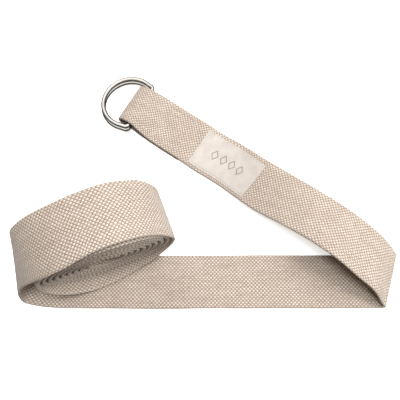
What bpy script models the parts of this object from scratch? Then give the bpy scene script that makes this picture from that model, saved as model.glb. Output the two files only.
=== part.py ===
"""Stretching strap: flat woven webbing, mostly rolled up, with two D-rings held in a sewn loop.

The strap lies on a table as it is put down. A standing roll rests on the flat run, the run ends in a
loose fold that turns the webbing back over itself, and the free end carries a sewn label and the rings.
The origin is on the table under the flat run, +X points along that run to the fold, +Z is up.
Lengths are in metres, and the lists of rulings in millimetres.
"""

import math

import bmesh
import bpy
import numpy as np
from mathutils import Matrix, Vector

MM = 0.001

# Webbing
WEB_WIDTH = 38.0 * MM
WEB_THICK = 2.4 * MM
GAP = 0.3 * MM
HALF_THICK = WEB_THICK / 2
STATION_STEP = 1.6 * MM
SLOPE_STEP = 0.2 * MM
SHARP_ANGLE = math.radians(40.0)

# Roll: a spiral in an upright plane, measured to the middle of the webbing's thickness. Its four sides
# step inwards at their own pitch, and near one turn the layer under the roll stands out of its face.
ROLL_FIRST_TURN = 0.80
ROLL_LAST_TURN = 9.70
ROLL_NEAR_CENTRE = Vector((-60.0 * MM, 8.6 * MM, 0.0))
ROLL_YAW = math.radians(19.9)
LEFT_AT_START, LEFT_PITCH = 51.6 * MM, 4.2 * MM
RIGHT_AT_START, RIGHT_PITCH = 49.0 * MM, 4.1 * MM
BOTTOM_AT_START, BOTTOM_PITCH = 0.8 * MM, 3.2 * MM
TOP_AT_START, TOP_PITCH = 75.4 * MM, 3.1 * MM
LEFT_DROOP = 0.10
STAND_OUT, STAND_OUT_TURN, STAND_OUT_SPAN = 9.5 * MM, 1.06, 0.17
STEPS_PER_TURN = 36
JOIN_TURNS = 0.06

# Rulings: the near and the far edge point of the webbing's middle surface, in millimetres.
# The outer turn, from the roll's right side over the top and down to the table.
OUTER_TURN = (
    ((-19.9, 22.4, 51.0), (-33.6, 57.0, 53.0)),
    ((-26.3, 21.5, 60.0), (-38.9, 56.4, 62.0)),
    ((-35.5, 18.6, 67.8), (-46.4, 53.7, 69.8)),
    ((-48.7, 13.4, 73.8), (-56.8, 50.2, 74.8)),
    ((-62.8, 7.4, 74.6), (-73.0, 44.2, 75.6)),
    ((-77.0, 0.2, 71.4), (-89.0, 38.0, 73.0)),
    ((-93.0, -5.0, 62.0), (-105.0, 32.2, 66.0)),
    ((-107.4, -7.6, 47.0), (-116.8, 27.6, 55.0)),
    ((-116.7, -9.2, 30.7), (-122.3, 26.4, 41.5)),
    ((-122.5, -12.2, 15.5), (-125.8, 25.5, 23.5)),
    ((-122.2, -15.9, 6.0), (-122.0, 22.5, 10.0)),
    ((-114.0, -17.8, 1.9), (-112.0, 20.3, 3.0)),
    ((-102.0, -18.8, 1.2), (-101.0, 19.2, 1.3)),
    ((-88.0, -19.0, 1.2), (-88.0, 19.0, 1.2)),
)
# The fold: the webbing turns back over itself at a crease, and comes down again in an arch. The fold's
# rulings all run along the crease, which keeps the webbing's width over them.
RUN_END = ((90.0, -19.0, 1.2), (90.0, 19.0, 1.2))
CREASE_HEADING = math.radians(71.8)
CREASE_NEAR = Vector((125.7 * MM, -19.0 * MM, 0.0))
# Distance in from the crease, and the heights of the near and the far edge, in millimetres.
FOLD_PROFILE = (
    (24.0, 1.2, 1.2),
    (12.0, 1.2, 1.2),
    (3.0, 1.3, 1.3),
    (-2.0, 2.6, 2.6),
    (-3.2, 4.4, 4.4),
    (-0.8, 6.8, 6.8),
    (10.0, 18.0, 14.0),
    (26.0, 23.5, 19.0),
    (44.0, 29.5, 22.0),
    (62.0, 28.5, 20.5),
    (82.0, 21.0, 16.0),
    (104.0, 10.5, 11.5),
)
HINGE_RULING = 11
# The free end, from the fold to the ring loop.
FREE_END = (
    ((10.4, 74.7, 1.2), (31.2, 107.2, 1.5)),
    ((-4.4, 84.3, 1.3), (16.4, 116.6, 1.3)),
    ((-12.8, 89.8, 3.4), (7.6, 122.2, 3.4)),
    ((-20.8, 95.2, 3.9), (-0.8, 127.5, 3.9)),
    ((-30.8, 102.0, 3.9), (-11.4, 134.7, 3.9)),
)

# The loop that holds the rings: distance out from their bars, height and half width, in millimetres,
# from the top layer round the front and back under the bars.
BAR_CENTRE = Vector((-47.2 * MM, 134.6 * MM, 0.0))
BAR_HEADING = math.radians(60.0)
ALONG_BAR = Vector((math.cos(BAR_HEADING), math.sin(BAR_HEADING), 0.0))
OUTWARD = Vector((-math.sin(BAR_HEADING), math.cos(BAR_HEADING), 0.0))
LOOP = (
    (-17.0, 5.2, 18.8),
    (-9.0, 8.8, 17.9),
    (-2.2, 11.5, 16.8),
    (3.0, 11.5, 16.5),
    (7.6, 9.4, 16.5),
    (9.6, 6.0, 16.5),
    (8.2, 2.7, 16.5),
    (4.0, 1.3, 16.5),
    (-2.0, 1.2, 16.8),
    (-9.0, 1.2, 17.9),
    (-17.0, 1.2, 18.8),
)
BAR_RULING = 2
# The tab, from the loop back under the free end.
TAB = (
    ((-30.8, 102.0, 1.2), (-11.4, 134.7, 1.2)),
    ((-20.8, 95.2, 1.2), (-0.8, 127.5, 1.2)),
    ((-17.6, 93.0, 1.2), (2.6, 125.4, 1.2)),
)
WIRE_RADIUS = 1.75 * MM
LOWER_BAR_HEIGHT = 4.45 * MM
UPPER_BAR_HEIGHT = LOWER_BAR_HEIGHT + 2 * WIRE_RADIUS + GAP
RING_RADIUS = 21.0 * MM
RING_CENTRE_OUT = 10.5 * MM
RING_ARC_HALF_ANGLE = math.radians(100.0)
RING_CORNER_RADIUS = 2.5 * MM
RING_SIDE_SHIFT = 0.4 * MM
RING_TILT = math.asin((LOWER_BAR_HEIGHT - WIRE_RADIUS) / (RING_CENTRE_OUT + RING_RADIUS))
RING_ARC_STEPS = 40
RING_CORNER_STEPS = 5

# Label and seams, placed by the distance back from the bars along the free end's middle line.
LABEL_START, LABEL_END = 54.5 * MM, 108.5 * MM
LABEL_MARGIN = 3.0 * MM
LABEL_THICK = 0.6 * MM
THREAD_RADIUS = 0.35 * MM
LABEL_SEAM_INSET = 1.5 * MM
LOOP_SEAM_START, LOOP_SEAM_END = 20.0 * MM, 42.0 * MM
LOOP_SEAM_MARGIN = 4.0 * MM
SEAM_STEP = 4.0 * MM
# The tail seam is this share of a turn back from the roll's inner end.
TAIL_SEAM_BACK = 0.12

COLOURS = {
    "webbing": ((0.66, 0.57, 0.47), 0.9, 0.0),
    "label": ((0.82, 0.77, 0.70), 0.75, 0.0),
    "thread": ((0.74, 0.66, 0.56), 0.7, 0.0),
    "ring_metal": ((0.80, 0.79, 0.77), 0.18, 1.0),
}


def roll_rulings(turns):
    """Rulings of the spiral at these turn counts: 0 is under the roll, 0.25 left, 0.5 top, 0.75 right."""
    turns = np.asarray(turns, float)
    angle = 2 * math.pi * turns
    left = LEFT_AT_START - LEFT_PITCH * turns
    right = RIGHT_AT_START - RIGHT_PITCH * turns
    bottom = BOTTOM_AT_START + BOTTOM_PITCH * turns
    top = TOP_AT_START - TOP_PITCH * turns
    out = (right - left) / 2 - np.sin(angle) * (right + left) / 2
    height = (top + bottom) / 2 - np.cos(angle) * (top - bottom) / 2
    height += LEFT_DROOP * np.minimum(out, 0.0) * np.sin(np.pi * (height - bottom) / (top - bottom))
    stand_out = STAND_OUT * np.exp(-(((turns - STAND_OUT_TURN) / STAND_OUT_SPAN) ** 2))
    along = np.array([math.cos(ROLL_YAW), math.sin(ROLL_YAW), 0.0])
    across = np.array([-math.sin(ROLL_YAW), math.cos(ROLL_YAW), 0.0])
    up = np.array([0.0, 0.0, 1.0])
    near = np.array(ROLL_NEAR_CENTRE) + np.outer(out, along) + np.outer(height, up)
    near -= np.outer(stand_out, across)
    return np.stack([near, near + WEB_WIDTH * across], axis=1)


def fold_rulings():
    """Rulings from the run's end round the crease and over the arch."""
    inward = np.array([-math.sin(CREASE_HEADING), math.cos(CREASE_HEADING), 0.0])
    along_crease = np.array([math.cos(CREASE_HEADING), math.sin(CREASE_HEADING), 0.0])
    out, near_height, far_height = np.array(FOLD_PROFILE).T * MM
    rise = np.diff(near_height + far_height) / 2
    travelled = np.concatenate([[0.0], np.cumsum(np.hypot(np.diff(out), rise))]) - out[0]
    length = WEB_WIDTH / math.sin(CREASE_HEADING)
    half = np.sqrt(length**2 - (far_height - near_height) ** 2) / 2
    middle = travelled / math.tan(CREASE_HEADING) + length / 2
    base = np.array(CREASE_NEAR) + np.outer(out, inward)
    near = base + np.outer(middle - half, along_crease)
    far = base + np.outer(middle + half, along_crease)
    near[:, 2], far[:, 2] = near_height, far_height
    return np.concatenate([[np.array(RUN_END) * MM], np.stack([near, far], axis=1)])


def loop_rulings():
    """Rulings of the ring loop from its profile."""
    rulings = []
    for outward, height, half_width in LOOP:
        middle = BAR_CENTRE + OUTWARD * (outward * MM) + Vector((0.0, 0.0, height * MM))
        rulings.append((middle - ALONG_BAR * (half_width * MM), middle + ALONG_BAR * (half_width * MM)))
    return np.array(rulings)


class Strip:
    """A smooth strip of webbing through a list of rulings, measured along its middle line."""

    def __init__(self, rulings):
        self.rulings = np.asarray(rulings, float)
        steps = np.linalg.norm(np.diff(self.rulings, axis=0), axis=2).mean(axis=1)
        self.at = np.concatenate([[0.0], np.cumsum(steps)])
        slopes = np.diff(self.rulings, axis=0) / steps[:, None, None]
        inner = (slopes[:-1] * steps[1:, None, None] + slopes[1:] * steps[:-1, None, None])
        inner /= (steps[1:] + steps[:-1])[:, None, None]
        self.slopes = np.concatenate([slopes[:1], inner, slopes[-1:]])

    def sample(self, distances):
        distances = np.asarray(distances, float)
        index = np.clip(np.searchsorted(self.at, distances, side="right") - 1, 0, len(self.at) - 2)
        span = (self.at[index + 1] - self.at[index])[:, None, None]
        t = (distances - self.at[index])[:, None, None] / span
        return (
            (2 * t**3 - 3 * t**2 + 1) * self.rulings[index]
            + (t**3 - 2 * t**2 + t) * span * self.slopes[index]
            + (3 * t**2 - 2 * t**3) * self.rulings[index + 1]
            + (t**3 - t**2) * span * self.slopes[index + 1]
        )

    def lean(self, distances):
        """How far along the webbing the far edge lies ahead of the near edge on these rulings."""
        rulings = self.sample(distances)
        forward = (self.sample(distances + SLOPE_STEP) - self.sample(distances - SLOPE_STEP)).mean(axis=1)
        forward /= np.linalg.norm(forward, axis=1)[:, None]
        return ((rulings[:, 1] - rulings[:, 0]) * forward).sum(axis=1)

    def piece(self, start, end):
        return self.sample(np.linspace(start, end, max(2, round((end - start) / STATION_STEP))))

    def square_piece(self, start, end):
        """Lines straight across the cloth, from edge to edge, where its rulings lean."""
        distances = np.linspace(start, end, max(2, round((end - start) / STATION_STEP)))
        half = self.lean(distances) / 2
        return np.stack([self.sample(distances + half)[:, 0], self.sample(distances - half)[:, 1]], axis=1)

    def surface(self, along, from_near, lift):
        """A point this far along and this far in from the near edge, lifted off the middle surface."""
        distance = along - self.lean(np.array([along]))[0] * (from_near / WEB_WIDTH - 0.5)
        before, here, after = self.sample([distance - SLOPE_STEP, distance, distance + SLOPE_STEP])
        share = from_near / np.linalg.norm(here[1] - here[0])
        point = here[0] + share * (here[1] - here[0])
        forward = after.mean(axis=0) - before.mean(axis=0)
        normal = np.cross(here[1] - here[0], forward)
        return point + lift * normal / np.linalg.norm(normal)


def material(slot):
    if slot in bpy.data.materials:
        return bpy.data.materials[slot]
    colour, roughness, metallic = COLOURS[slot]
    made = bpy.data.materials.new(slot)
    made.use_nodes = True
    shader = made.node_tree.nodes["Principled BSDF"]
    shader.inputs["Base Color"].default_value = (*colour, 1.0)
    shader.inputs["Roughness"].default_value = roughness
    shader.inputs["Metallic"].default_value = metallic
    return made


def add_object(name, data, slot, pivot):
    """Links the data, given in world coordinates, as an object whose origin is its body's pivot."""
    obj = bpy.data.objects.new(name, data)
    bpy.context.scene.collection.objects.link(obj)
    obj.data.materials.append(material(slot))
    if pivot is not None:
        obj.parent = pivot
        obj.matrix_parent_inverse = Matrix.Translation(-pivot.location)
    return obj


def add_slab(name, rulings, thickness, slot, pivot, lift=0.0):
    """A closed slab of this thickness on a strip's rulings, its middle lifted off the middle surface."""
    forward = np.gradient(rulings, axis=0)
    across = np.repeat((rulings[:, 1] - rulings[:, 0])[:, None], 2, axis=1)
    normal = np.cross(across, forward)
    normal /= np.linalg.norm(normal, axis=2)[:, :, None]
    over = rulings + normal * (lift + thickness / 2)
    under = rulings + normal * (lift - thickness / 2)
    mesh = bmesh.new()
    rings = []
    for station in range(len(rulings)):
        corners = (over[station, 0], over[station, 1], under[station, 1], under[station, 0])
        rings.append([mesh.verts.new(corner) for corner in corners])
    for first, second in zip(rings, rings[1:]):
        for side in range(4):
            ahead = (side + 1) % 4
            mesh.faces.new((first[side], first[ahead], second[ahead], second[side]))
    mesh.faces.new(rings[0][::-1])
    mesh.faces.new(rings[-1])
    bmesh.ops.recalc_face_normals(mesh, faces=mesh.faces)
    data = bpy.data.meshes.new(name)
    mesh.to_mesh(data)
    mesh.free()
    data.shade_smooth()
    data.set_sharp_from_angle(angle=SHARP_ANGLE)
    return add_object(name, data, slot, pivot)


def add_thread(name, points, closed, pivot):
    curve = bpy.data.curves.new(name, "CURVE")
    curve.dimensions = "3D"
    curve.bevel_depth = THREAD_RADIUS
    curve.bevel_resolution = 1
    curve.use_fill_caps = True
    spline = curve.splines.new("POLY")
    spline.points.add(len(points) - 1)
    for spot, point in zip(spline.points, points):
        spot.co = (*point, 1.0)
    spline.use_cyclic_u = closed
    return add_object(name, curve, "thread", pivot)


def seam_frame(strip, start, end, margin, lift):
    """Points round a rectangle on the strip, a margin in from both edges."""
    points = []
    low, high = margin, WEB_WIDTH - margin
    corners = ((start, low), (start, high), (end, high), (end, low), (start, low))
    for (along_a, across_a), (along_b, across_b) in zip(corners, corners[1:]):
        count = round(math.hypot(along_b - along_a, across_b - across_a) / SEAM_STEP)
        for t in np.arange(count) / count:
            along = along_a + t * (along_b - along_a)
            points.append(strip.surface(along, across_a + t * (across_b - across_a), lift))
    return points


def ring_outline():
    """The D's middle line in its own plane, (along the bar, outward), closed."""
    arc_end = RING_RADIUS * math.sin(RING_ARC_HALF_ANGLE)
    arc_out = RING_CENTRE_OUT + RING_RADIUS * math.cos(RING_ARC_HALF_ANGLE)
    lean = RING_ARC_HALF_ANGLE - math.pi / 2
    bar_half = arc_end - arc_out * math.tan(lean)
    points = []
    for t in np.linspace(-RING_ARC_HALF_ANGLE, RING_ARC_HALF_ANGLE, RING_ARC_STEPS):
        points.append((RING_RADIUS * math.sin(t), RING_CENTRE_OUT + RING_RADIUS * math.cos(t)))
    inset = RING_CORNER_RADIUS / math.tan((math.pi / 2 + lean) / 2)
    centre = bar_half - inset
    corner = []
    for t in np.linspace(-lean, -math.pi / 2, RING_CORNER_STEPS):
        across = centre + RING_CORNER_RADIUS * math.cos(t)
        corner.append((across, RING_CORNER_RADIUS + RING_CORNER_RADIUS * math.sin(t)))
    points += corner
    points += [(-across, outward) for across, outward in reversed(corner)]
    return points


def add_ring(name, bar_height, side_shift, parent):
    curve = bpy.data.curves.new(name, "CURVE")
    curve.dimensions = "3D"
    curve.bevel_depth = WIRE_RADIUS
    curve.bevel_resolution = 4
    spline = curve.splines.new("POLY")
    outline = ring_outline()
    spline.points.add(len(outline) - 1)
    for spot, (across, outward) in zip(spline.points, outline):
        spot.co = (across, outward, 0.0, 1.0)
    spline.use_cyclic_u = True
    ring = bpy.data.objects.new(name, curve)
    bpy.context.scene.collection.objects.link(ring)
    curve.materials.append(material("ring_metal"))
    place = Matrix.Translation(BAR_CENTRE + ALONG_BAR * side_shift + Vector((0.0, 0.0, bar_height)))
    turn = Matrix.Rotation(BAR_HEADING, 4, "Z") @ Matrix.Rotation(-RING_TILT, 4, "X")
    ring.parent = parent
    ring.matrix_parent_inverse = Matrix.Translation(-parent.location)
    ring.matrix_basis = place @ turn
    return ring


def add_pivot(name, location):
    pivot = bpy.data.objects.new(name, None)
    pivot.location = location
    bpy.context.scene.collection.objects.link(pivot)
    return pivot


def build_roll():
    turns = np.linspace(
        ROLL_FIRST_TURN, ROLL_LAST_TURN, round((ROLL_LAST_TURN - ROLL_FIRST_TURN) * STEPS_PER_TURN)
    )
    add_slab("webbing_roll", roll_rulings(turns)[::-1], WEB_THICK, "webbing", None)
    joining = roll_rulings([ROLL_FIRST_TURN + JOIN_TURNS, ROLL_FIRST_TURN])
    outer = Strip(np.concatenate([joining, np.array(OUTER_TURN) * MM]))
    outer_turn = outer.piece(outer.at[1] + GAP, outer.at[-1] - GAP / 2)
    add_slab("webbing_outer_turn", outer_turn, WEB_THICK, "webbing", None)

    tail_turn = ROLL_LAST_TURN - TAIL_SEAM_BACK
    before, tail = roll_rulings([tail_turn - JOIN_TURNS, tail_turn])
    outward = (before - tail)[0]
    normal = Vector(np.cross(tail[1] - tail[0], outward)).normalized()
    lift = normal * (HALF_THICK + GAP + THREAD_RADIUS)
    near, far = Vector(tail[0]), Vector(tail[1])
    inset = (far - near).normalized() * LOOP_SEAM_MARGIN
    add_thread("tail_seam_thread", [near + inset - lift, far - inset - lift], False, None)


def build_strap():
    build_roll()
    run_start = np.array(OUTER_TURN[-1]) * MM
    run_end = np.array(RUN_END) * MM
    shift = np.array([GAP / 2, 0.0, 0.0])
    add_slab("webbing_run", np.stack([run_start + shift, run_end - shift]), WEB_THICK, "webbing", None)
    fold = fold_rulings()
    strip = Strip(np.concatenate([fold, np.array(FREE_END) * MM, loop_rulings(), np.array(TAB) * MM]))
    loop_start = len(fold) + len(FREE_END)
    hinge_at = strip.at[HINGE_RULING]
    loop_at = strip.at[loop_start]
    tab_at = strip.at[-1 - len(TAB)]
    half_gap = GAP / 2

    near, far = strip.sample([hinge_at])[0]
    lift = Vector(strip.surface(hinge_at, WEB_WIDTH / 2, HALF_THICK)) - Vector((near + far) / 2)
    pivot = add_pivot("free_end_pivot", Vector((near + far) / 2) + lift)

    add_slab("webbing_fold", strip.piece(half_gap, hinge_at - half_gap), WEB_THICK, "webbing", None)
    pieces = {
        "webbing_end": (hinge_at + half_gap, loop_at - half_gap),
        "webbing_loop": (loop_at + half_gap, tab_at - half_gap),
        "webbing_tab": (tab_at + half_gap, strip.at[-1]),
    }
    for name, (start, end) in pieces.items():
        add_slab(name, strip.piece(start, end), WEB_THICK, "webbing", pivot)

    bar_at = strip.at[loop_start + BAR_RULING]
    label = strip.square_piece(bar_at - LABEL_END, bar_at - LABEL_START)
    across = label[:, 1] - label[:, 0]
    inset = across * (LABEL_MARGIN / WEB_WIDTH)
    label[:, 0] += inset
    label[:, 1] -= inset
    on_top = HALF_THICK + GAP
    add_slab("label", label, LABEL_THICK, "label", pivot, on_top + LABEL_THICK / 2)
    seams = {
        "label_seam_thread": (
            LABEL_END - LABEL_SEAM_INSET,
            LABEL_START + LABEL_SEAM_INSET,
            LABEL_MARGIN + LABEL_SEAM_INSET,
            on_top + LABEL_THICK + GAP + THREAD_RADIUS,
        ),
        "loop_seam_thread": (LOOP_SEAM_END, LOOP_SEAM_START, LOOP_SEAM_MARGIN, on_top + THREAD_RADIUS),
    }
    for name, (start, end, margin, lift) in seams.items():
        points = seam_frame(strip, bar_at - start, bar_at - end, margin, lift)
        add_thread(name, points, True, pivot)

    add_ring("upper_d_ring", UPPER_BAR_HEIGHT, RING_SIDE_SHIFT, pivot)
    add_ring("lower_d_ring", LOWER_BAR_HEIGHT, -RING_SIDE_SHIFT, pivot)


for leftover in list(bpy.data.objects):
    bpy.data.objects.remove(leftover, do_unlink=True)
build_strap()
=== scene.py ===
"""Stretching strap on a pale studio floor: woven webbing, sewn label and nickel-plated wire D-rings.

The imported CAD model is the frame. The webbing, the label, the rings and the stitches are built again here
with finer meshes on the same rulings, and stand for the CAD solids. Lengths are in metres.
"""

import math

import bpy
import numpy as np
from mathutils import Matrix, Vector


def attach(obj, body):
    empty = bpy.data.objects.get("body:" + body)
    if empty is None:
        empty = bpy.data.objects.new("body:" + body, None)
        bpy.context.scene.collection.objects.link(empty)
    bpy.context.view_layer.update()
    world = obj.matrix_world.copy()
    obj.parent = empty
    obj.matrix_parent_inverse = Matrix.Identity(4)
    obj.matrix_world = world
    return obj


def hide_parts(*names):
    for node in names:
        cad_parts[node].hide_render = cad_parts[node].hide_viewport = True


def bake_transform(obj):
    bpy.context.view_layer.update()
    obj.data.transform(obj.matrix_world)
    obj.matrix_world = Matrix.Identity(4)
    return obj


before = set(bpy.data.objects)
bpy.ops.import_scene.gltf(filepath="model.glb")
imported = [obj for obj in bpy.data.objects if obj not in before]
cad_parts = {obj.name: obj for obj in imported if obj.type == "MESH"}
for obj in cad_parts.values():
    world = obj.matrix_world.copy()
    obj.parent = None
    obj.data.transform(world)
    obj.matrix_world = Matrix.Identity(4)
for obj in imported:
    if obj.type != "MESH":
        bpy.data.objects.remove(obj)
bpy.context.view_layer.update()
MM = 0.001

# Webbing
WEB_WIDTH = 38.0 * MM
HALF_THICK = 1.2 * MM
# The weave has this many warp threads across the width, and a weft thread at this pitch.
WARP_COLUMNS = 28
PICK_PITCH = 1.32 * MM
STATIONS_PER_PICK = 2
SLOPE_STEP = 0.3 * MM
# From the selvedge inwards: distance in, in millimetres, and share of the half thickness there.
SELVEDGE = ((0.0, 0.0), (0.18, 0.55), (0.55, 0.86), (1.2, 1.0))
SELVEDGE_DEPTH = SELVEDGE[-1][0] * MM
# The section's points between the selvedges, in millimetres from the near edge.
FLAT_ACROSS = (5.0, 12.0, 19.0, 26.0, 33.0)
# The selvedge dips in at every other station, and both edges wander a little along two waves.
SELVEDGE_SCALLOP = 0.16 * MM
SELVEDGE_WANDER = 0.22 * MM
SHORT_WANDER, LONG_WANDER, WANDER_PHASE = 13.0 * MM, 31.0 * MM, 1.0
# The webbing is thinner by up to this share, in a wave of this length over two pi.
THIN_SHARE, THIN_WAVE = 0.03, 9.0 * MM
SQUARING_PASSES = 3

# Roll: a spiral in an upright plane, measured to the middle of the webbing's thickness. Its four sides
# step inwards at their own pitch, and near one turn the layer under the roll stands out of its face.
ROLL_FIRST_TURN = 0.80
ROLL_LAST_TURN = 9.70
ROLL_NEAR_CENTRE = Vector((-60.0 * MM, 8.6 * MM, 0.0))
ROLL_YAW = math.radians(19.9)
LEFT_AT_START, LEFT_PITCH = 51.6 * MM, 4.2 * MM
RIGHT_AT_START, RIGHT_PITCH = 49.0 * MM, 4.1 * MM
BOTTOM_AT_START, BOTTOM_PITCH = 0.8 * MM, 3.2 * MM
TOP_AT_START, TOP_PITCH = 75.4 * MM, 3.1 * MM
LEFT_DROOP = 0.10
STAND_OUT, STAND_OUT_TURN, STAND_OUT_SPAN = 9.5 * MM, 1.06, 0.17
STEPS_PER_TURN = 36
ROLL_STEPS = round((ROLL_LAST_TURN - ROLL_FIRST_TURN) * STEPS_PER_TURN)

# Rulings: the near and the far edge point of the webbing's middle surface, in millimetres.
# The outer turn, from the roll's right side over the top and down to the table.
OUTER_TURN = (
    ((-19.9, 22.4, 51.0), (-33.6, 57.0, 53.0)),
    ((-26.3, 21.5, 60.0), (-38.9, 56.4, 62.0)),
    ((-35.5, 18.6, 67.8), (-46.4, 53.7, 69.8)),
    ((-48.7, 13.4, 73.8), (-56.8, 50.2, 74.8)),
    ((-62.8, 7.4, 74.6), (-73.0, 44.2, 75.6)),
    ((-77.0, 0.2, 71.4), (-89.0, 38.0, 73.0)),
    ((-93.0, -5.0, 62.0), (-105.0, 32.2, 66.0)),
    ((-107.4, -7.6, 47.0), (-116.8, 27.6, 55.0)),
    ((-116.7, -9.2, 30.7), (-122.3, 26.4, 41.5)),
    ((-122.5, -12.2, 15.5), (-125.8, 25.5, 23.5)),
    ((-122.2, -15.9, 6.0), (-122.0, 22.5, 10.0)),
    ((-114.0, -17.8, 1.9), (-112.0, 20.3, 3.0)),
    ((-102.0, -18.8, 1.2), (-101.0, 19.2, 1.3)),
    ((-88.0, -19.0, 1.2), (-88.0, 19.0, 1.2)),
)
RUN_END = ((90.0, -19.0, 1.2), (90.0, 19.0, 1.2))
FREE_END = (
    ((10.4, 74.7, 1.2), (31.2, 107.2, 1.5)),
    ((-4.4, 84.3, 1.3), (16.4, 116.6, 1.3)),
    ((-12.8, 89.8, 3.4), (7.6, 122.2, 3.4)),
    ((-20.8, 95.2, 3.9), (-0.8, 127.5, 3.9)),
    ((-30.8, 102.0, 3.9), (-11.4, 134.7, 3.9)),
)
# The fold, whose rulings run along its crease: distance in from the crease, and the heights of the near
# and the far edge, in millimetres.
CREASE_HEADING = math.radians(71.8)
CREASE_NEAR = Vector((125.7 * MM, -19.0 * MM, 0.0))
FOLD_PROFILE = (
    (24.0, 1.2, 1.2),
    (12.0, 1.2, 1.2),
    (3.0, 1.3, 1.3),
    (-2.0, 2.6, 2.6),
    (-3.2, 4.4, 4.4),
    (-0.8, 6.8, 6.8),
    (10.0, 18.0, 14.0),
    (26.0, 23.5, 19.0),
    (44.0, 29.5, 22.0),
    (62.0, 28.5, 20.5),
    (82.0, 21.0, 16.0),
    (104.0, 10.5, 11.5),
)
# The fold's rulings at which the two lengths of webbing meet, and at which bend_ends puts its hinge.
SEAM_RULING = 10
HINGE_RULING = 11
# The loop that holds the rings: distance out from their bars, height and half width, in millimetres.
LOOP = (
    (-17.0, 5.2, 18.8),
    (-9.0, 8.8, 17.9),
    (-2.2, 11.5, 16.8),
    (3.0, 11.5, 16.5),
    (7.6, 9.4, 16.5),
    (9.6, 6.0, 16.5),
    (8.2, 2.7, 16.5),
    (4.0, 1.3, 16.5),
    (-2.0, 1.2, 16.8),
    (-9.0, 1.2, 17.9),
    (-17.0, 1.2, 18.8),
)
# The webbing's end, folded back under the free end.
TAB = (
    ((-30.8, 102.0, 1.2), (-11.4, 134.7, 1.2)),
    ((-20.8, 95.2, 1.2), (-0.8, 127.5, 1.2)),
    ((-17.6, 93.0, 1.2), (2.6, 125.4, 1.2)),
)
# The loop's ruling over the bars, and how far to each side of the hinge bend_ends takes its points.
BAR_RULING = 2
BEND_REACH = 11.0 * MM

# Rings
BAR_CENTRE = Vector((-47.2 * MM, 134.6 * MM, 0.0))
BAR_HEADING = math.radians(60.0)
ALONG_BAR = Vector((math.cos(BAR_HEADING), math.sin(BAR_HEADING), 0.0))
OUTWARD = Vector((-math.sin(BAR_HEADING), math.cos(BAR_HEADING), 0.0))
WIRE_RADIUS = 1.75 * MM
LOWER_BAR_HEIGHT = 4.45 * MM
UPPER_BAR_HEIGHT = 8.25 * MM
RING_RADIUS = 21.0 * MM
RING_CENTRE_OUT = 10.5 * MM
RING_ARC_HALF_ANGLE = math.radians(100.0)
RING_CORNER_RADIUS = 2.5 * MM
RING_SIDE_SHIFT = 0.4 * MM
RING_TILT = math.asin((LOWER_BAR_HEIGHT - WIRE_RADIUS) / (RING_CENTRE_OUT + RING_RADIUS))
RING_ARC_STEPS = 120
RING_CORNER_STEPS = 12
RING_SIDES = 28

# Label and seams, placed by the distance back from the bars along the free end's middle line.
LABEL_START, LABEL_END = 54.5 * MM, 108.5 * MM
LABEL_MARGIN = 3.0 * MM
LABEL_THICK = 0.5 * MM
LABEL_STEP = 1.0 * MM
# The label's rim is this share of its thickness high, and rises to the full height over this width.
LABEL_RIM_SHARE, LABEL_RIM_WIDTH = 0.35, 0.8 * MM
# Its faint ripple: height, two wave lengths over two pi, and phase.
LABEL_RIPPLE, RIPPLE_ALONG, RIPPLE_ACROSS, RIPPLE_PHASE = 0.10 * MM, 7.0 * MM, 9.0 * MM, 0.6
LABEL_CLEARANCE = 0.08 * MM
STITCH_LENGTH = 2.6 * MM
STITCH_GAP = 0.8 * MM
STITCH_RADIUS = 0.22 * MM
STITCH_SIDES = 8
# Keeps an upright stretch of thread from having no side direction.
LEAST_SIDE = 1e-9
# Along one stitch: its rise in millimetres, and its share of the full radius.
STITCH_HUMP = (-0.10, 0.20, 0.28, 0.20, -0.10)
STITCH_TAPER = (0.5, 0.95, 1.0, 0.95, 0.5)
LABEL_SEAM_INSET = 1.5 * MM
LOOP_SEAM_START, LOOP_SEAM_END = 20.0 * MM, 42.0 * MM
LOOP_SEAM_MARGIN = 4.0 * MM
TAIL_SEAM_BACK = 5.0 * MM

# Colours
WARP_LIGHT = (0.488, 0.437, 0.386)
WARP_DARK = (0.385, 0.336, 0.287)
WEFT_LIGHT = (0.266, 0.222, 0.186)
WEFT_DARK = (0.198, 0.160, 0.130)
# Painted shade: the weave darkens to this colour where its threads lie low, at their sides and in the
# hollows between them.
PAINTED_GAP_SHADE = (0.085, 0.060, 0.046)
PATCH_COLOUR = (0.86, 0.82, 0.79)
FLECK_COLOUR = (0.30, 0.21, 0.15)
LABEL_COLOUR = (0.415, 0.391, 0.368)
LABEL_SHADE = (0.372, 0.348, 0.326)
PRINT_COLOUR = (0.150, 0.125, 0.105)
THREAD_COLOUR = (0.45, 0.38, 0.32)
THREAD_SHADE = (0.36, 0.304, 0.256)
METAL_DARK = (0.70, 0.68, 0.65)
METAL_LIGHT = (0.80, 0.79, 0.77)

# Weave: how far the warp threads wander, in thread pitches, and the share of it that the weft takes up.
THREAD_DRIFT, WEFT_DRIFT_SHARE = 0.42, 0.8
# In heights of a thread's crown: how deep the threads dive under each other, how far the weft lies below
# the warp, and how softly the two meet. The exponent rounds a thread's section.
CRIMP, WEFT_SET, CROSSING_SOFTNESS = 0.60, 0.28, 0.12
ROUNDNESS = 0.55
WEAVE_BUMP = 0.25 * MM
# How strongly fibres, broad patches and flecks show in the colour, and fibres in the height.
FIBRE_SHARE, PATCH_SHARE, FLECK_SHARE, FUZZ_SHARE = 0.22, 0.25, 0.55, 0.16

# The label's print and its own fine weave, in millimetres.
LOZENGE_PITCH = 8.0
LOZENGE_HALF_LENGTH, LOZENGE_HALF_WIDTH = 3.3, 4.8
PRINT_HALF_LENGTH = 16.0
# A lozenge's outline lies between these shares of its size, and is soft over the last number.
OUTLINE_INNER, OUTLINE_OUTER, OUTLINE_SOFTNESS = 0.66, 1.0, 0.08
FINE_WARP_PITCH, FINE_WEFT_PITCH = 0.42, 0.36
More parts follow.
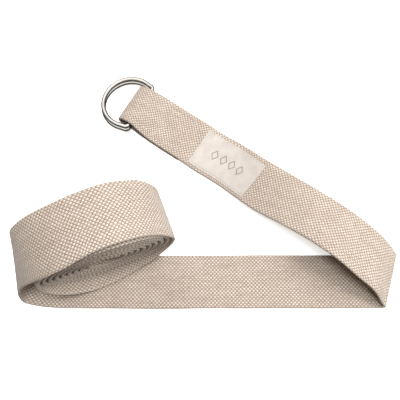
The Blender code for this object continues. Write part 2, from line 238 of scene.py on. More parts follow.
# How strongly the print and the fine weave show in the label's colour.
PRINT_SHARE, GRAIN_SHARE = 0.95, 0.06
LABEL_BUMP = 0.04 * MM

# Sewing thread and wire: bumps of the twist and of the rubbing marks, and the wire's roughness where it is
# polished, with what the marks add to it.
TWIST_BUMP, RUB_BUMP = 0.08 * MM, 0.02 * MM
POLISHED_ROUGHNESS, RUBBED_ROUGHNESS = 0.07, 0.12

# Studio: the surroundings as cloth, metal and camera see them. A rise is: from this height of the view
# direction, to this height, and the brightness at the first and at the second.
AMBIENT_COLOUR, AMBIENT_RISE = (1.0, 0.75, 0.55), (0.05, 0.50, 0.12, 0.36)
REFLECTED_COLOUR, REFLECTED_RISE = (1.0, 0.975, 0.94), (0.25, 0.85, 0.08, 1.45)
BACKDROP_COLOUR, BACKDROP_RISE = (0.90, 0.90, 0.90), (0.0, 1.0, 1.0, 1.0)
FLOOR_HALF, FLOOR_HEIGHT = 3.0, -0.25 * MM
FLOOR_SHADE = (0.86, 0.86, 0.86)
FLOOR_COLOUR = (0.88, 0.88, 0.88)
FLOOR_GLOW = 0.60
# Soft lights aimed at the strap: name, place, disk diameter, power in watts, colour.
LIGHTS_AIM = (0.0, 0.03, 0.02)
LIGHTS = (
    ("key", (0.36, 0.26, 0.93), 0.36, 7.6, (1.0, 0.99, 0.975)),
    ("top", (0.0, 0.0, 1.0), 0.40, 9.2, (0.965, 0.985, 1.0)),
    ("side", (0.90, -0.10, 0.30), 0.40, 7.0, (1.0, 0.99, 0.97)),
    ("back", (-0.25, 0.95, 0.50), 0.60, 7.0, (1.0, 0.98, 0.95)),
)
CAMERA_PLACE = (0.0, -0.032, 0.325)
CAMERA_TILT = math.radians(16.0)
CAMERA_LENS, CAMERA_SENSOR = 40.0, 36.0
CAMERA_CLIP = 0.01


class Strip:
    """A smooth strip of webbing through a list of rulings, measured along its middle line."""

    def __init__(self, rulings):
        self.rulings = np.asarray(rulings, float)
        steps = np.linalg.norm(np.diff(self.rulings, axis=0), axis=2).mean(axis=1)
        self.at = np.concatenate([[0.0], np.cumsum(steps)])
        slopes = np.diff(self.rulings, axis=0) / steps[:, None, None]
        inner = slopes[:-1] * steps[1:, None, None] + slopes[1:] * steps[:-1, None, None]
        inner /= (steps[1:] + steps[:-1])[:, None, None]
        self.slopes = np.concatenate([slopes[:1], inner, slopes[-1:]])

    def sample(self, distances):
        """Rulings at these distances, on a cubic curve through each edge's points."""
        distances = np.asarray(distances, float)
        index = np.clip(np.searchsorted(self.at, distances, side="right") - 1, 0, len(self.at) - 2)
        span = (self.at[index + 1] - self.at[index])[:, None, None]
        t = (distances - self.at[index])[:, None, None] / span
        return (
            (2 * t**3 - 3 * t**2 + 1) * self.rulings[index]
            + (t**3 - 2 * t**2 + t) * span * self.slopes[index]
            + (3 * t**2 - 2 * t**3) * self.rulings[index + 1]
            + (t**3 - t**2) * span * self.slopes[index + 1]
        )

    def frames(self, distances):
        """Rulings at these distances, with the unit normal at each edge."""
        rulings = self.sample(distances)
        forward = self.sample(distances + SLOPE_STEP) - self.sample(distances - SLOPE_STEP)
        across = np.repeat((rulings[:, 1] - rulings[:, 0])[:, None], 2, axis=1)
        normal = np.cross(across, forward)
        return rulings, normal / np.linalg.norm(normal, axis=2)[:, :, None]

    def skew(self, distances):
        """How far along the webbing the far edge lies ahead of the near edge on these rulings."""
        rulings = self.sample(distances)
        forward = (self.sample(distances + SLOPE_STEP) - self.sample(distances - SLOPE_STEP)).mean(axis=1)
        forward /= np.linalg.norm(forward, axis=1)[:, None]
        return ((rulings[:, 1] - rulings[:, 0]) * forward).sum(axis=1)

    def surface(self, along, from_near, lift):
        """A point this far along the cloth and this far in from the near edge, lifted off the middle."""
        distance = np.array([along])
        for _ in range(SQUARING_PASSES):
            distance = along - self.skew(distance) * (from_near / WEB_WIDTH - 0.5)
        rulings, normals = self.frames(distance)
        near, far = rulings[0]
        share = from_near / np.linalg.norm(far - near)
        normal = (1 - share) * normals[0, 0] + share * normals[0, 1]
        return near + share * (far - near) + lift * normal


def roll_rulings(turns):
    """Rulings of the spiral at these turn counts: 0 is under the roll, 0.25 left, 0.5 top, 0.75 right."""
    angle = 2 * math.pi * turns
    left = LEFT_AT_START - LEFT_PITCH * turns
    right = RIGHT_AT_START - RIGHT_PITCH * turns
    bottom = BOTTOM_AT_START + BOTTOM_PITCH * turns
    top = TOP_AT_START - TOP_PITCH * turns
    out = (right - left) / 2 - np.sin(angle) * (right + left) / 2
    height = (top + bottom) / 2 - np.cos(angle) * (top - bottom) / 2
    height += LEFT_DROOP * np.minimum(out, 0.0) * np.sin(np.pi * (height - bottom) / (top - bottom))
    stand_out = STAND_OUT * np.exp(-(((turns - STAND_OUT_TURN) / STAND_OUT_SPAN) ** 2))
    along = np.array([math.cos(ROLL_YAW), math.sin(ROLL_YAW), 0.0])
    across = np.array([-math.sin(ROLL_YAW), math.cos(ROLL_YAW), 0.0])
    up = np.array([0.0, 0.0, 1.0])
    near = np.array(ROLL_NEAR_CENTRE) + np.outer(out, along) + np.outer(height, up)
    near -= np.outer(stand_out, across)
    return np.stack([near, near + WEB_WIDTH * across], axis=1)


def fold_rulings():
    """Rulings from the run's end round the crease and over the arch."""
    inward = np.array([-math.sin(CREASE_HEADING), math.cos(CREASE_HEADING), 0.0])
    along_crease = np.array([math.cos(CREASE_HEADING), math.sin(CREASE_HEADING), 0.0])
    out, near_height, far_height = np.array(FOLD_PROFILE).T * MM
    rise = np.diff(near_height + far_height) / 2
    travelled = np.concatenate([[0.0], np.cumsum(np.hypot(np.diff(out), rise))]) - out[0]
    length = WEB_WIDTH / math.sin(CREASE_HEADING)
    half = np.sqrt(length**2 - (far_height - near_height) ** 2) / 2
    middle = travelled / math.tan(CREASE_HEADING) + length / 2
    base = np.array(CREASE_NEAR) + np.outer(out, inward)
    near = base + np.outer(middle - half, along_crease)
    far = base + np.outer(middle + half, along_crease)
    near[:, 2], far[:, 2] = near_height, far_height
    return np.concatenate([[np.array(RUN_END) * MM], np.stack([near, far], axis=1)])


def loop_rulings():
    """Rulings of the ring loop from its profile."""
    rulings = []
    for outward, height, half_width in LOOP:
        middle = BAR_CENTRE + OUTWARD * (outward * MM) + Vector((0.0, 0.0, height * MM))
        rulings.append((middle - ALONG_BAR * (half_width * MM), middle + ALONG_BAR * (half_width * MM)))
    return np.array(rulings)


def add_mesh(name, points, faces, material, uvs=None):
    """A smooth mesh object; uvs holds one (x, y) for each face corner."""
    data = bpy.data.meshes.new(name)
    data.from_pydata([tuple(point) for point in points], [], faces)
    data.shade_smooth()
    if uvs is not None:
        layer = data.uv_layers.new(name="Flat")
        layer.uv.foreach_set("vector", np.asarray(uvs, np.float32).ravel())
    data.materials.append(material)
    obj = bpy.data.objects.new(name, data)
    bpy.context.scene.collection.objects.link(obj)
    return obj


def grid_faces(rows, columns, closed):
    """Quads of a grid of points stored row by row; closed joins the last column to the first."""
    row, column = np.meshgrid(np.arange(rows - 1), np.arange(columns - (not closed)), indexing="ij")
    ahead = (column + 1) % columns
    quads = np.stack(
        [
            row * columns + column,
            row * columns + ahead,
            (row + 1) * columns + ahead,
            (row + 1) * columns + column,
        ],
        axis=-1,
    )
    return quads.reshape(-1, 4)


def webbing_section():
    """The webbing's closed section: position across, share of the half thickness, and warp column."""
    inwards = [(distance * MM, share) for distance, share in SELVEDGE]
    outwards = [(WEB_WIDTH - distance, share) for distance, share in reversed(inwards)]
    over = inwards + [(distance * MM, 1.0) for distance in FLAT_ACROSS] + outwards
    under = [(distance, -share) for distance, share in reversed(over[1:-1])]
    section = np.array(over + under)
    loop = np.vstack([section, section[:1]])
    steps = np.hypot(np.diff(loop[:, 0]), np.diff(loop[:, 1]) * HALF_THICK)
    columns = np.concatenate([[0.0], np.cumsum(steps)]) * WARP_COLUMNS / WEB_WIDTH
    return section, columns


def webbing_points(strip, station, distances, section):
    """The webbing's skin, a row of section points for each station, with its uneven edges."""
    rulings, normals = strip.frames(distances)
    across = rulings[:, 1] - rulings[:, 0]
    sideways = across / np.linalg.norm(across, axis=1)[:, None]
    share = section[:, 0] / WEB_WIDTH
    points = rulings[:, None, 0] + share[None, :, None] * across[:, None]
    normal = normals[:, None, 0] * (1 - share)[None, :, None] + normals[:, None, 1] * share[None, :, None]
    thickness = HALF_THICK * (1.0 - THIN_SHARE * (0.5 + 0.5 * np.sin(distances / THIN_WAVE)))
    points += normal * (section[:, 1][None, :] * thickness[:, None])[:, :, None]

    wander = np.sin(distances / SHORT_WANDER) * np.sin(distances / LONG_WANDER + WANDER_PHASE)
    wander *= SELVEDGE_WANDER
    scallop = SELVEDGE_SCALLOP * (station % STATIONS_PER_PICK)
    edge = np.clip(1 - np.minimum(share, 1 - share) * WEB_WIDTH / SELVEDGE_DEPTH, 0.0, 1.0)
    inward = np.where(share < 0.5, 1.0, -1.0) * edge
    shift = inward[None, :] * scallop[:, None] + wander[:, None] * edge[None, :]
    return points + sideways[:, None] * shift[:, :, None]


def add_webbing(name, strip, start, end, caps, material):
    """A length of webbing as one skin, with its flat place on the cloth as its UV.

    caps says which of its two ends are closed. Returns the object and its length.
    """
    spacing = PICK_PITCH / STATIONS_PER_PICK
    station = np.arange(round(start / spacing), round(end / spacing) + 1)
    distances = np.clip(station * spacing, 0.0, strip.at[-1])
    section, columns = webbing_section()
    points = webbing_points(strip, station, distances, section)

    # The cloth's own threads at each point, with the first column again after the last.
    ahead = strip.skew(distances)[:, None] * (section[:, 0] / WEB_WIDTH - 0.5)[None, :]
    picks = (distances[:, None] + ahead) / PICK_PITCH
    picks = np.hstack([picks, picks[:, :1]])
    rows, width = len(station), len(section)
    faces = grid_faces(rows, width, True).tolist()
    row, column = np.divmod(np.arange((rows - 1) * width), width)
    corners = [(row, column), (row, column + 1), (row + 1, column + 1), (row + 1, column)]
    uvs = np.stack([np.stack([columns[c], picks[r, c]], axis=-1) for r, c in corners], axis=1)
    uvs = uvs.reshape(-1, 2).tolist()
    for at, wanted in zip((0, rows - 1), caps):
        if wanted:
            order = range(width)[::-1] if at == 0 else range(width)
            faces.append([at * width + corner for corner in order])
            uvs += [(columns[corner], picks[at, corner]) for corner in order]
    obj = add_mesh(name, points.reshape(-1, 3), faces, material, uvs)
    return obj, float(distances[-1] - distances[0])


def add_label(strip, bar_at, material):
    """The label: a thin cloth patch with turned edges, and its own millimetre UV from its centre."""
    length, width = LABEL_END - LABEL_START, WEB_WIDTH - 2 * LABEL_MARGIN
    rows, columns = round(length / LABEL_STEP) + 1, round(width / LABEL_STEP) + 1
    points, places = [], []
    for along in np.linspace(0.0, length, rows):
        for across in np.linspace(0.0, width, columns):
            edge = min(along, length - along, across, width - across)
            turned = math.sqrt(min(1.0, edge / LABEL_RIM_WIDTH))
            rise = LABEL_THICK * (LABEL_RIM_SHARE + (1.0 - LABEL_RIM_SHARE) * turned)
            ripple = math.sin(along / RIPPLE_ALONG + RIPPLE_PHASE) * math.sin(across / RIPPLE_ACROSS)
            lift = HALF_THICK + LABEL_CLEARANCE + rise + LABEL_RIPPLE * ripple
            points.append(strip.surface(bar_at - LABEL_END + along, LABEL_MARGIN + across, lift))
            places.append(((along - length / 2) / MM, (across - width / 2) / MM))
    over = len(points)
    for along, across in places[:over]:
        from_start, from_near = along * MM + length / 2, LABEL_MARGIN + across * MM + width / 2
        points.append(strip.surface(bar_at - LABEL_END + from_start, from_near, HALF_THICK))
    places += places
    top = grid_faces(rows, columns, False)[:, ::-1]
    faces = top.tolist() + (top[:, ::-1] + over).tolist()
    rim = [row * columns for row in range(rows)]
    rim += [(rows - 1) * columns + column for column in range(1, columns)]
    rim += [row * columns + columns - 1 for row in range(rows - 2, -1, -1)]
    rim += [column for column in range(columns - 2, 0, -1)]
    for here, ahead in zip(rim, rim[1:] + rim[:1]):
        faces.append((here, ahead, ahead + over, here + over))
    uvs = [places[corner] for face in faces for corner in face]
    return add_mesh("label_patch", points, faces, material, uvs)


def tube(points, radii, sides):
    """Points and faces of a tube swept along these points, with a radius at each and flat ends."""
    points = np.asarray(points)
    forward = np.gradient(points, axis=0)
    forward /= np.linalg.norm(forward, axis=1)[:, None]
    side = np.cross(forward, [0.0, 0.0, 1.0]) + LEAST_SIDE
    side /= np.linalg.norm(side, axis=1)[:, None]
    up = np.cross(side, forward)
    angle = 2 * math.pi * np.arange(sides) / sides
    rings = side[:, None] * np.cos(angle)[None, :, None] + up[:, None] * np.sin(angle)[None, :, None]
    skin = (points[:, None] + rings * np.asarray(radii)[:, None, None]).reshape(-1, 3)
    faces = grid_faces(len(points), sides, True).tolist()
    last = (len(points) - 1) * sides
    faces.append(list(range(sides))[::-1])
    faces.append(list(range(last, last + sides)))
    return skin, faces


def add_stitches(name, strip, path, base, material):
    """A row of stitches along a path of (distance, from the near edge), each a short rounded hump."""
    path = np.array(path)
    steps = np.concatenate([[0.0], np.cumsum(np.linalg.norm(np.diff(path, axis=0), axis=1))])
    count = round(steps[-1] / (STITCH_LENGTH + STITCH_GAP))
    pitch = steps[-1] / count
    points, faces = [], []
    hump = np.array(STITCH_HUMP) * MM
    radii = np.array(STITCH_TAPER) * STITCH_RADIUS
    for stitch in range(count):
        start = stitch * pitch + STITCH_GAP / 2
        spots = np.linspace(start, start + STITCH_LENGTH, len(hump))
        line = []
        for spot, rise in zip(spots, hump):
            along = np.interp(spot, steps, path[:, 0])
            across = np.interp(spot, steps, path[:, 1])
            line.append(strip.surface(along, across, base + rise))
        skin, quads = tube(line, radii, STITCH_SIDES)
        shift = len(points)
        points += list(skin)
        faces += [[corner + shift for corner in face] for face in quads]
    return add_mesh(name, points, faces, material)


def frame_path(start, end, margin):
    """A rectangle of (distance, from the near edge), this far in from both edges, gone round once."""
    low, high = margin, WEB_WIDTH - margin
    return [(start, low), (start, high), (end, high), (end, low), (start, low)]


def ring_outline():
    """The D's middle line in its own plane, (along the bar, outward), closed."""
    lean = RING_ARC_HALF_ANGLE - math.pi / 2
    arc_out = RING_CENTRE_OUT + RING_RADIUS * math.cos(RING_ARC_HALF_ANGLE)
    bar_half = RING_RADIUS * math.sin(RING_ARC_HALF_ANGLE) - arc_out * math.tan(lean)
    points = []
    for t in np.linspace(-RING_ARC_HALF_ANGLE, RING_ARC_HALF_ANGLE, RING_ARC_STEPS):
        points.append((RING_RADIUS * math.sin(t), RING_CENTRE_OUT + RING_RADIUS * math.cos(t)))
    centre = bar_half - RING_CORNER_RADIUS / math.tan((math.pi / 2 + lean) / 2)
    corner = []
    for t in np.linspace(-lean, -math.pi / 2, RING_CORNER_STEPS):
        across = centre + RING_CORNER_RADIUS * math.cos(t)
        corner.append((across, RING_CORNER_RADIUS + RING_CORNER_RADIUS * math.sin(t)))
    points += corner
    points += [(-across, outward) for across, outward in reversed(corner)]
    return np.array(points)


def add_ring(name, bar_height, side_shift, material):
    """A wire D-ring, its round section swept round the outline in the ring's own plane."""
    outline = ring_outline()
    tangent = np.roll(outline, -1, axis=0) - np.roll(outline, 1, axis=0)
    tangent /= np.linalg.norm(tangent, axis=1)[:, None]
    outer = np.stack([tangent[:, 1], -tangent[:, 0]], axis=1)
    angle = 2 * math.pi * np.arange(RING_SIDES) / RING_SIDES
    plane = outline[:, None] + outer[:, None] * (WIRE_RADIUS * np.cos(angle))[None, :, None]
    height = np.broadcast_to(WIRE_RADIUS * np.sin(angle), plane.shape[:2])
    skin = np.concatenate([plane, height[:, :, None]], axis=2).reshape(-1, 3)
    rows = len(outline)
    faces = grid_faces(rows, RING_SIDES, True).tolist()
    last = (rows - 1) * RING_SIDES
    for side in range(RING_SIDES):
        next_side = (side + 1) % RING_SIDES
        faces.append((last + side, last + next_side, next_side, side))
    faces = [face[::-1] for face in faces]
    ring = add_mesh(name, skin, faces, material)
    centre = BAR_CENTRE + ALONG_BAR * side_shift + Vector((0.0, 0.0, bar_height))
    turn = Matrix.Rotation(BAR_HEADING, 4, "Z") @ Matrix.Rotation(-RING_TILT, 4, "X")
    ring.data.transform(Matrix.Translation(centre) @ turn)
    return ring


class Graph:
    """Short calls for building a material's nodes."""

    def __init__(self, name):
        self.material = bpy.data.materials.new(name)
        self.material.use_nodes = True
        self.tree = self.material.node_tree
        self.shader = self.tree.nodes["Principled BSDF"]

    def link(self, value, socket):
        """Joins another node's output to the socket, or sets the socket to a constant."""
        if isinstance(value, bpy.types.NodeSocket):
            self.tree.links.new(value, socket)
        else:
            socket.default_value = value

    def math(self, operation, *values):
        node = self.tree.nodes.new("ShaderNodeMath")
        node.operation = operation
        for value, socket in zip(values, node.inputs):
            self.link(value, socket)
        return node.outputs[0]

    def mix(self, factor, first, second, blend="MIX"):
        node = self.tree.nodes.new("ShaderNodeMix")
        node.data_type = "RGBA"
        node.blend_type = blend
        self.link(factor, node.inputs["Factor"])
        for value, socket in ((first, node.inputs[6]), (second, node.inputs[7])):
            self.link(value if isinstance(value, bpy.types.NodeSocket) else (*value, 1.0), socket)
        return node.outputs[2]

    def steps(self, value, low, high):
        """value from low to high, as 0 to 1 with soft ends."""
        node = self.tree.nodes.new("ShaderNodeMapRange")
        node.interpolation_type = "SMOOTHSTEP"
        for number, socket in zip((value, low, high), node.inputs):
            self.link(number, socket)
        return node.outputs[0]

    def scaled(self, value, factor):
        """value times factor."""
        return self.math("MULTIPLY", value, factor)

    def sine(self, value, factor):
        """The sine of value times factor."""
        return self.math("SINE", self.scaled(value, factor))

    def alternate(self, count):
        """1 on even threads and -1 on odd ones."""
        return self.math("SUBTRACT", 1.0, self.scaled(self.math("FLOORED_MODULO", count, 2.0), 2.0))

    def grey(self, value):
        """A grey of this brightness."""
        node = self.tree.nodes.new("ShaderNodeCombineColor")
        for socket in node.inputs:
            self.link(value, socket)
        return node.outputs[0]

    def combine(self, x, y, z=0.0):
        node = self.tree.nodes.new("ShaderNodeCombineXYZ")
        for value, socket in zip((x, y, z), node.inputs):
            self.link(value, socket)
        return node.outputs[0]

    def stretched(self, x, y, factor_x, factor_y, z=0.0):
        """A flat place with its x and y scaled, for noise. A z of its own sets one noise apart."""
        return self.combine(self.scaled(x, factor_x), self.scaled(y, factor_y), z)

    def noise(self, vector, scale=1.0, detail=2.0):
        node = self.tree.nodes.new("ShaderNodeTexNoise")
        self.link(vector, node.inputs["Vector"])
        node.inputs["Scale"].default_value = scale
        node.inputs["Detail"].default_value = detail
        return node.outputs["Fac"]

    def flat(self):
        """The piece's own UV, as its x and y."""
        uv = self.tree.nodes.new("ShaderNodeUVMap")
        uv.uv_map = "Flat"
        split = self.tree.nodes.new("ShaderNodeSeparateXYZ")
        self.tree.links.new(uv.outputs[0], split.inputs[0])
        return split.outputs[0], split.outputs[1]

    def position(self):
        """The place on the object, in metres."""
        return self.tree.nodes.new("ShaderNodeTexCoord").outputs["Object"]

    def bump(self, height, distance, strength):
        """Bumps the shader's normal by a height, in units of this distance."""
        node = self.tree.nodes.new("ShaderNodeBump")
        node.inputs["Strength"].default_value = strength
        node.inputs["Distance"].default_value = distance
        self.link(height, node.inputs["Height"])
        self.tree.links.new(node.outputs[0], self.shader.inputs["Normal"])

    def finish(self, colour, roughness, **constants):
        """Sets the shader's colour, roughness and constants, and returns the material."""
        self.link(colour, self.shader.inputs["Base Color"])
        self.link(roughness, self.shader.inputs["Roughness"])
        for name, value in constants.items():
            self.shader.inputs[name.replace("_", " ")].default_value = value
        return self.material


def weave_material():
    """Coarse plain weave: warp threads along the strap over and under the weft, cell by cell, with painted
    shade where the threads lie low.
    """
    graph = Graph("linen_weave")
    column, pick = graph.flat()
    wander = graph.noise(graph.stretched(column, pick, 0.9, 0.9), scale=0.55, detail=3.0)
    drift = graph.scaled(graph.math("SUBTRACT", wander, 0.5), THREAD_DRIFT)
    column = graph.math("ADD", column, drift)
    pick = graph.math("ADD", pick, graph.scaled(drift, WEFT_DRIFT_SHARE))
    warp_thread = graph.math("FLOOR", column)
    weft_thread = graph.math("FLOOR", pick)

    # Each thread's own height: round across itself, and over and under along itself.
    warp_dive = graph.scaled(
        graph.math("MULTIPLY", graph.alternate(warp_thread), graph.sine(pick, math.pi)), CRIMP
    )
    weft_dive = graph.scaled(
        graph.math("MULTIPLY", graph.alternate(weft_thread), graph.sine(column, math.pi)), CRIMP
    )
    warp_round = graph.math("POWER", graph.math("ABSOLUTE", graph.sine(column, math.pi)), ROUNDNESS)
    weft_round = graph.math("POWER", graph.math("ABSOLUTE", graph.sine(pick, math.pi)), ROUNDNESS)
    warp = graph.math("ADD", warp_dive, warp_round)
    weft = graph.math("SUBTRACT", graph.math("SUBTRACT", weft_round, weft_dive), WEFT_SET)
    height = graph.math("SMOOTH_MAX", warp, weft, CROSSING_SOFTNESS)
    warp_on_top = graph.steps(graph.math("SUBTRACT", warp, weft), low=-0.08, high=0.08)

    # Fibres run along each thread, and each thread has a tone of its own.
    warp_fibre = graph.noise(graph.stretched(column, pick, 7.0, 1.6), detail=3.0)
    weft_fibre = graph.noise(graph.stretched(column, pick, 1.6, 7.0, z=4.0), detail=3.0)
    warp_tone = graph.noise(graph.stretched(warp_thread, pick, 3.7, 0.10))
    weft_tone = graph.noise(graph.stretched(column, weft_thread, 0.12, 3.7, z=9.0))
    warp_colour = graph.mix(graph.steps(warp_tone, low=0.25, high=0.75), WARP_DARK, WARP_LIGHT)
    weft_colour = graph.mix(graph.steps(weft_tone, low=0.25, high=0.75), WEFT_DARK, WEFT_LIGHT)
    thread = graph.mix(warp_on_top, weft_colour, warp_colour)
    fibre = graph.mix(warp_on_top, graph.grey(weft_fibre), graph.grey(warp_fibre))
    thread = graph.mix(FIBRE_SHARE, thread, fibre, "OVERLAY")
    # Painted shade: the colour darkens where the threads lie low, at their sides and in the hollows between
    # them.
    colour = graph.mix(graph.steps(height, low=0.05, high=1.15), PAINTED_GAP_SHADE, thread)

    # Broad uneven patches, and dark flecks of seed husk.
    patch = graph.noise(graph.stretched(column, pick, 0.08, 0.05), detail=3.0)
    patch_share = graph.scaled(graph.steps(patch, low=0.3, high=0.7), PATCH_SHARE)
    colour = graph.mix(patch_share, colour, PATCH_COLOUR, "MULTIPLY")
    fleck = graph.noise(graph.stretched(column, pick, 1.1, 1.1, z=21.0), detail=1.0)
    fleck_share = graph.scaled(graph.steps(fleck, low=0.72, high=0.80), FLECK_SHARE)
    colour = graph.mix(fleck_share, colour, FLECK_COLOUR)
    fuzz = graph.scaled(graph.math("ADD", warp_fibre, weft_fibre), FUZZ_SHARE)
    graph.bump(graph.math("ADD", height, fuzz), WEAVE_BUMP, strength=0.8)
    return graph.finish(
        colour, roughness=0.92, Sheen_Weight=0.25, Sheen_Roughness=0.5, Specular_IOR_Level=0.15
    )


def label_material():
    """Close-woven cream cloth with a printed row of plain lozenges."""
    graph = Graph("label_cloth")
    along, across = graph.flat()
    fine_warp = graph.sine(along, 2 * math.pi / FINE_WARP_PITCH)
    fine_weft = graph.sine(across, 2 * math.pi / FINE_WEFT_PITCH)
    grain = graph.math("MULTIPLY", fine_warp, fine_weft)
    patch = graph.noise(graph.stretched(along, across, 0.12, 0.12), detail=4.0)
    cloth = graph.mix(graph.steps(patch, low=0.3, high=0.7), LABEL_SHADE, LABEL_COLOUR)
    grain_share = graph.scaled(graph.math("ADD", grain, 1.0), GRAIN_SHARE)
    cloth = graph.mix(grain_share, cloth, LABEL_SHADE, "MULTIPLY")

    # A place's share of its lozenge's size: 0 at the centre, and 1 on the lozenge's four sides.
    cell = graph.math("SUBTRACT", graph.math("FLOORED_MODULO", along, LOZENGE_PITCH), LOZENGE_PITCH / 2)
    share = graph.math(
        "ADD",
        graph.math("DIVIDE", graph.math("ABSOLUTE", cell), LOZENGE_HALF_LENGTH),
        graph.math("DIVIDE", graph.math("ABSOLUTE", across), LOZENGE_HALF_WIDTH),
    )
    outline = graph.math(
        "MULTIPLY",
        graph.steps(share, low=OUTLINE_INNER, high=OUTLINE_INNER + OUTLINE_SOFTNESS),
        graph.steps(share, low=OUTLINE_OUTER, high=OUTLINE_OUTER - OUTLINE_SOFTNESS),
    )
    inside = graph.math("LESS_THAN", graph.math("ABSOLUTE", along), PRINT_HALF_LENGTH)
    wear = graph.noise(graph.combine(along, across, 3.0), scale=2.2, detail=3.0)
    worn = graph.steps(wear, low=0.30, high=0.48)
    printed = graph.math("MULTIPLY", outline, inside)
    ink = graph.math("MULTIPLY", printed, graph.scaled(worn, PRINT_SHARE))
    graph.bump(graph.math("ADD", grain, graph.scaled(patch, 2.0)), LABEL_BUMP, strength=0.6)
    colour = graph.mix(ink, cloth, PRINT_COLOUR)
    return graph.finish(colour, roughness=0.75, Sheen_Weight=0.2, Specular_IOR_Level=0.25)


def thread_material():
    """Twisted cotton sewing thread, tone on tone with the webbing."""
    graph = Graph("cotton_thread")
    twist = graph.noise(graph.position(), scale=2600.0)
    colour = graph.mix(graph.steps(twist, low=0.3, high=0.7), THREAD_SHADE, THREAD_COLOUR)
    graph.bump(twist, TWIST_BUMP, strength=0.6)
    return graph.finish(colour, roughness=0.8, Sheen_Weight=0.2, Specular_IOR_Level=0.2)


def metal_material():
    """Bright nickel plate with faint rubbing marks."""
    graph = Graph("nickel_wire")
    marks = graph.noise(graph.position(), scale=700.0, detail=4.0)
    broad = graph.noise(graph.position(), scale=90.0)
    rubbed = graph.scaled(graph.steps(marks, low=0.45, high=0.75), RUBBED_ROUGHNESS)
    roughness = graph.math("ADD", POLISHED_ROUGHNESS, rubbed)
    colour = graph.mix(graph.steps(broad, low=0.35, high=0.7), METAL_DARK, METAL_LIGHT)
    graph.bump(marks, RUB_BUMP, strength=0.25)
    return graph.finish(colour, roughness, Metallic=1.0)


def bend_ends(strip, hinge_at):
    """Two points square to the hinge, one to each side of it, BEND_REACH along the webbing."""
    near, far = strip.sample([hinge_at])[0]
    hinge, axis = (near + far) / 2, (far - near) / np.linalg.norm(far - near)
    ahead = strip.sample([hinge_at + BEND_REACH]).mean(axis=1)[0] - hinge
    reach = ahead - axis * (ahead @ axis)
    return hinge - reach, hinge + reach


def strap_strip():
    """The strap as one strip, and how far along it the seam, the hinge and the ring bars are."""
    lists = (
        roll_rulings(np.linspace(ROLL_LAST_TURN, ROLL_FIRST_TURN, ROLL_STEPS)),
        np.array(OUTER_TURN) * MM,
        fold_rulings(),
        np.array(FREE_END) * MM,
        loop_rulings(),
        np.array(TAB) * MM,
    )
    strip = Strip(np.concatenate(lists))
    fold_from = sum(len(rulings) for rulings in lists[:2])
    loop_from = sum(len(rulings) for rulings in lists[:4])
    seam_at = strip.at[fold_from + SEAM_RULING]
    hinge_at = strip.at[fold_from + HINGE_RULING]
    bar_at = strip.at[loop_from + BAR_RULING]
    return strip, seam_at, hinge_at, bar_at


def build_strap():
    """Every piece of the strap with its material; all but the ring end's webbing ride on a body, and the
    CAD parts they stand for are hidden.
    """
    weave, label_cloth = weave_material(), label_material()
    thread, metal = thread_material(), metal_material()
    strip, seam_at, hinge_at, bar_at = strap_strip()

    spacing = PICK_PITCH / STATIONS_PER_PICK
    total = math.floor(strip.at[-1] / spacing) * spacing
    body, body_length = add_webbing("webbing_rolled_run", strip, 0.0, seam_at, (True, False), weave)
    end, end_length = add_webbing("webbing_ring_end", strip, seam_at, total, (False, True), weave)
    print(f"webbing length {strip.at[-1]:.3f} m, pieces {body_length:.3f} and {end_length:.3f} m")

    tail_path = [(TAIL_SEAM_BACK, LOOP_SEAM_MARGIN), (TAIL_SEAM_BACK, WEB_WIDTH - LOOP_SEAM_MARGIN)]
    tail_seam = add_stitches("tail_stitches", strip, tail_path, HALF_THICK, thread)
    label = add_label(strip, bar_at, label_cloth)
    label_path = frame_path(
        bar_at - LABEL_END + LABEL_SEAM_INSET,
        bar_at - LABEL_START - LABEL_SEAM_INSET,
        LABEL_MARGIN + LABEL_SEAM_INSET,
    )
    label_seam = add_stitches("label_stitches", strip, label_path, HALF_THICK + LABEL_THICK, thread)
    loop_path = frame_path(bar_at - LOOP_SEAM_END, bar_at - LOOP_SEAM_START, LOOP_SEAM_MARGIN)
    loop_seam = add_stitches("loop_stitches", strip, loop_path, HALF_THICK, thread)
    upper = add_ring("upper_ring_wire", UPPER_BAR_HEIGHT, RING_SIDE_SHIFT, metal)
    lower = add_ring("lower_ring_wire", LOWER_BAR_HEIGHT, -RING_SIDE_SHIFT, metal)

    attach(body, "strap")
    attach(tail_seam, "strap")
    for piece in (label, label_seam, loop_seam):
        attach(piece, "ring_end")
    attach(upper, "upper_ring")
    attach(lower, "lower_ring")
    bend_ends(strip, hinge_at)
    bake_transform(end)

    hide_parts("webbing_roll", "webbing_outer_turn", "webbing_run", "webbing_fold")
    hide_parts("webbing_end", "webbing_loop", "webbing_tab")
    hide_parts("label")
    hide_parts("label_seam_thread")
    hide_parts("loop_seam_thread")
    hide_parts("tail_seam_thread")
    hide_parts("upper_d_ring")
    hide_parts("lower_d_ring")


def add_floor():
    """A plain pale floor, which glows a little and is left out of reflections and bounced light."""
    graph = Graph("studio_floor")
    tone = graph.noise(graph.position(), scale=3.0)
    colour = graph.mix(tone, FLOOR_SHADE, FLOOR_COLOUR)
    graph.shader.inputs["Emission Color"].default_value = (1.0, 1.0, 1.0, 1.0)
    material = graph.finish(
        colour, roughness=0.9, Specular_IOR_Level=0.1, Emission_Strength=FLOOR_GLOW
    )
    signs = ((-1, -1), (1, -1), (1, 1), (-1, 1))
    corners = [(x * FLOOR_HALF, y * FLOOR_HALF, FLOOR_HEIGHT) for x, y in signs]
    floor = add_mesh("floor", corners, [(0, 1, 2, 3)], material)
    floor.visible_glossy = False
    floor.visible_diffuse = False


def add_area_light(name, place, size, power, colour):
    """A soft round light, aimed at the strap and left out of reflections."""
    light = bpy.data.lights.new(name, "AREA")
    light.shape = "DISK"
    light.size = size
    light.energy = power
    light.color = colour
    obj = bpy.data.objects.new(name, light)
    obj.location = place
    obj.rotation_euler = (Vector(LIGHTS_AIM) - Vector(place)).to_track_quat("-Z", "Y").to_euler()
    obj.visible_glossy = False
    bpy.context.scene.collection.objects.link(obj)


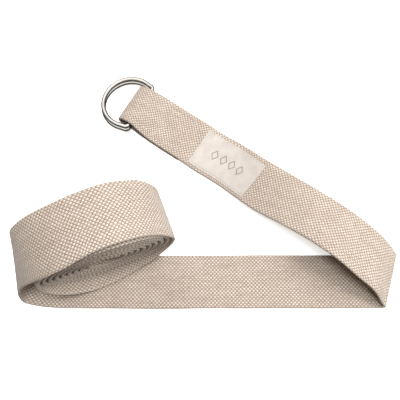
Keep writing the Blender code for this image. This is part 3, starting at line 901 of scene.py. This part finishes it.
def sky(tree, height, colour, rise):
    """A background of one colour, whose brightness rises with the height of the view direction."""
    background = tree.nodes.new("ShaderNodeBackground")
    background.inputs["Color"].default_value = (*colour, 1.0)
    brightness = tree.nodes.new("ShaderNodeMapRange")
    tree.links.new(height, brightness.inputs[0])
    for number, socket in zip(rise, list(brightness.inputs)[1:5]):
        socket.default_value = number
    tree.links.new(brightness.outputs[0], background.inputs["Strength"])
    return background.outputs[0]


def add_surroundings():
    """The world: one sky for diffuse light, one for reflections and one that the camera sees."""
    world = bpy.data.worlds.new("studio")
    world.use_nodes = True
    tree = world.node_tree
    direction = tree.nodes.new("ShaderNodeTexCoord")
    split = tree.nodes.new("ShaderNodeSeparateXYZ")
    tree.links.new(direction.outputs["Generated"], split.inputs[0])
    height = split.outputs[2]
    rays = tree.nodes.new("ShaderNodeLightPath")
    surface = sky(tree, height, AMBIENT_COLOUR, AMBIENT_RISE)
    for kind, colour, rise in (
        ("Is Glossy Ray", REFLECTED_COLOUR, REFLECTED_RISE),
        ("Is Camera Ray", BACKDROP_COLOUR, BACKDROP_RISE),
    ):
        choice = tree.nodes.new("ShaderNodeMixShader")
        tree.links.new(rays.outputs[kind], choice.inputs[0])
        tree.links.new(surface, choice.inputs[1])
        tree.links.new(sky(tree, height, colour, rise), choice.inputs[2])
        surface = choice.outputs[0]
    tree.links.new(surface, tree.nodes["World Output"].inputs["Surface"])
    bpy.context.scene.world = world


def add_camera():
    """The camera near the strap, tilted towards the ring end, and plain colour handling."""
    scene = bpy.context.scene
    scene.view_settings.view_transform = "Standard"
    scene.view_settings.look = "None"
    camera = bpy.data.cameras.new("camera")
    camera.lens = CAMERA_LENS
    camera.sensor_width = CAMERA_SENSOR
    camera.clip_start = CAMERA_CLIP
    view = bpy.data.objects.new("camera", camera)
    view.location = CAMERA_PLACE
    view.rotation_euler = (CAMERA_TILT, 0.0, 0.0)
    scene.collection.objects.link(view)
    scene.camera = view


build_strap()
add_floor()
add_surroundings()
for light in LIGHTS:
    add_area_light(*light)
add_camera()
